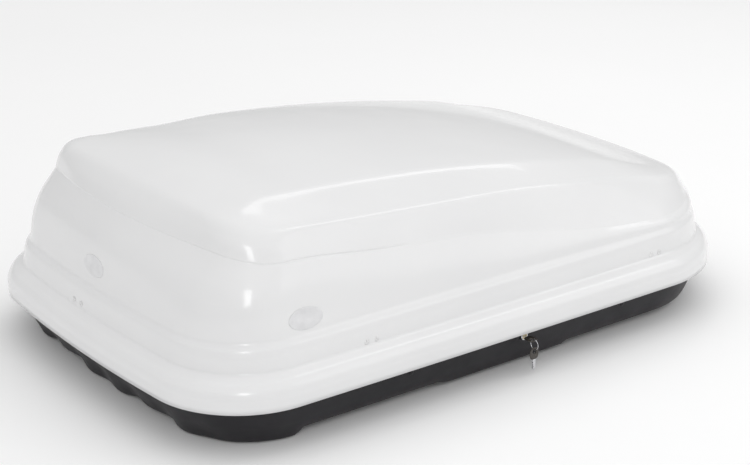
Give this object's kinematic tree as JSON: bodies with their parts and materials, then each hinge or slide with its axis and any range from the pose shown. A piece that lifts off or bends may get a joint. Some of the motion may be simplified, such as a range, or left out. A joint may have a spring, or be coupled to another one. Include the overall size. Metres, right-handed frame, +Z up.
{
  "type": "roof cargo box",
  "caption": "Hard-shell roof cargo box: glossy lid hinged along one long side over a dark tray, with a key lock, sliding catch bar and lid stays.",
  "frame": {"origin": "on the ground under the middle of the rim, on the keel's flat underside", "axes": "+X forward to the low nose, +Y to the hinge side, +Z up"},
  "size_m": [1.3397, 0.8934, 0.404],
  "materials": {
    "white_lid": "gloss white acrylic-capped ABS",
    "black_tray": "fine-grained satin charcoal ABS",
    "zinc_steel": "zinc-plated strip",
    "aluminium_rivet": "plain rivet heads",
    "dark_plastic": "moulded nylon",
    "chrome": "bright plated",
    "brass_plug": "nickel-washed",
    "key_black": "black moulded head, plated blade",
    "badge_grey": "plain domed oval"
  },
  "bodies": {
    "tray": {"bar_guide_front": "dark_plastic", "bar_guide_rear": "dark_plastic", "bar_guide_rivets": "aluminium_rivet", "base_shell": "black_tray", "floor_rail_left": "zinc_steel", "floor_rail_right": "zinc_steel", "floor_rail_rivets": "aluminium_rivet", "hinge_base_rivets": "aluminium_rivet", "hinge_front_base_leaf": "zinc_steel", "hinge_front_pin": "zinc_steel", "hinge_middle_base_leaf": "zinc_steel", "hinge_middle_pin": "zinc_steel", "hinge_rear_base_leaf": "zinc_steel", "hinge_rear_pin": "zinc_steel", "lock_barrel": "chrome", "lock_nut": "zinc_steel", "stay_base_rivets": "aluminium_rivet", "stay_front_bracket": "zinc_steel", "stay_front_pivot_pin": "zinc_steel", "stay_rear_bracket": "zinc_steel", "stay_rear_pivot_pin": "zinc_steel"},
    "lid": {"hinge_front_lid_leaf": "zinc_steel", "hinge_lid_rivets": "aluminium_rivet", "hinge_middle_lid_leaf": "zinc_steel", "hinge_rear_lid_leaf": "zinc_steel", "lid_shell": "white_lid", "rear_badge": "badge_grey", "side_badge": "badge_grey", "stay_front_rail": "zinc_steel", "stay_front_rail_spacer": "dark_plastic", "stay_lid_rivets": "aluminium_rivet", "stay_rear_rail": "zinc_steel", "stay_rear_rail_spacer": "dark_plastic", "striker_front": "zinc_steel", "striker_rear": "zinc_steel", "striker_rivets": "aluminium_rivet"},
    "rear_arm": {"stay_rear_arm": "zinc_steel", "stay_rear_slide_pin": "zinc_steel"},
    "front_arm": {"stay_front_arm": "zinc_steel", "stay_front_slide_pin": "zinc_steel"},
    "lock": {"lock_plug": "brass_plug", "lock_cam": "zinc_steel", "cam_screw": "zinc_steel", "key": "key_black"},
    "bar": {"lock_bar": "zinc_steel"},
    "ring": {"key_ring": "chrome"},
    "spare": {"spare_key": "key_black"}
  },
  "joints": [
    {"name": "lid_hinge", "type": "hinge", "parent": "tray", "child": "lid", "pos_m": [0, 0.431, 0.076], "axis": [-1, 0, 0], "range_deg": [0, 55]},
    {"name": "rear_arm_pivot", "type": "hinge", "parent": "tray", "child": "rear_arm", "pos_m": [-0.615, 0.171, 0.076], "axis": [-1, 0, 0], "range_deg": [0, 110.2]},
    {"name": "front_arm_pivot", "type": "hinge", "parent": "tray", "child": "front_arm", "pos_m": [0.604, 0.171, 0.076], "axis": [-1, 0, 0], "range_deg": [0, 110.2]},
    {"name": "lock_turn", "type": "hinge", "parent": "tray", "child": "lock", "pos_m": [0.034, -0.413, 0.066], "axis": [0, 1, 0], "range_deg": [0, 90.1]},
    {"name": "bar_slide", "type": "slide", "parent": "tray", "child": "bar", "axis": [1, 0, 0], "range_m": [0, 0.01697]},
    {"name": "ring_swing", "type": "hinge", "parent": "lock", "child": "ring", "pos_m": [0.034, -0.44345, 0.0675], "axis": [1, 0, 0], "range_deg": [-10, 3]},
    {"name": "spare_key_swing", "type": "hinge", "parent": "ring", "child": "spare", "pos_m": [0.034, -0.44345, 0.0484], "axis": [0, 1, 0], "range_deg": [-30, 30]}
  ],
  "couplings": [
    {"joint": "rear_arm_pivot", "follows": "lid_hinge", "ratio": 2},
    {"joint": "front_arm_pivot", "follows": "lid_hinge", "ratio": 2},
    {"joint": "lock_turn", "follows": "bar_slide", "rad_per_m": 92.56}
  ]
}
